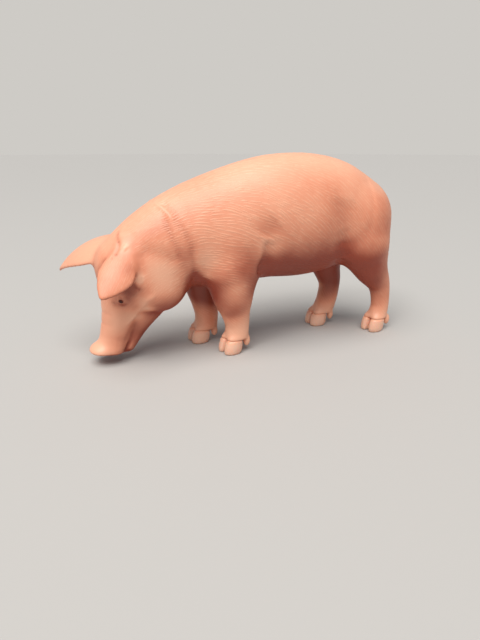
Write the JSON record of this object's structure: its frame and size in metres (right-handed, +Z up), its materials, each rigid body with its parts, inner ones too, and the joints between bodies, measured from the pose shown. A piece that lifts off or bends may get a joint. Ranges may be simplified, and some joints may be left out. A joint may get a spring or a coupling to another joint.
{
  "type": "toy pig figure",
  "caption": "Small moulded plastic pig, standing with its snout lowered to the ground and its ears hanging forward.",
  "frame": {"origin": "middle of the bounding box in plan, at the level of the hoof soles", "axes": "+Z up, -Y the way the pig faces, +X the pig's left side"},
  "size_m": [0.0376, 0.1274, 0.068],
  "materials": {
    "skin": "pink PVC with a moulded coat of fine hair, satin paint, reddish in the hollows",
    "snout": "pink PVC, satin paint, slightly redder and shinier than the coat",
    "hoof": "pale flesh-coloured PVC, smooth and satin",
    "eye": "dark brown gloss paint"
  },
  "bodies": {
    "root": {"trunk": "skin", "neck": "skin", "head": "skin", "lower_jaw": "skin", "snout": "snout", "ear_left": "skin", "ear_right": "skin", "eye_left": "eye", "eye_right": "eye", "tail": "skin", "leg_front_left": "skin", "leg_front_right": "skin", "leg_hind_left": "skin", "leg_hind_right": "skin", "hoof_front_left_left": "hoof", "hoof_front_left_right": "hoof", "hoof_front_right_left": "hoof", "hoof_front_right_right": "hoof", "hoof_hind_left_left": "hoof", "hoof_hind_left_right": "hoof", "hoof_hind_right_left": "hoof", "hoof_hind_right_right": "hoof"}
  },
  "joints": []
}
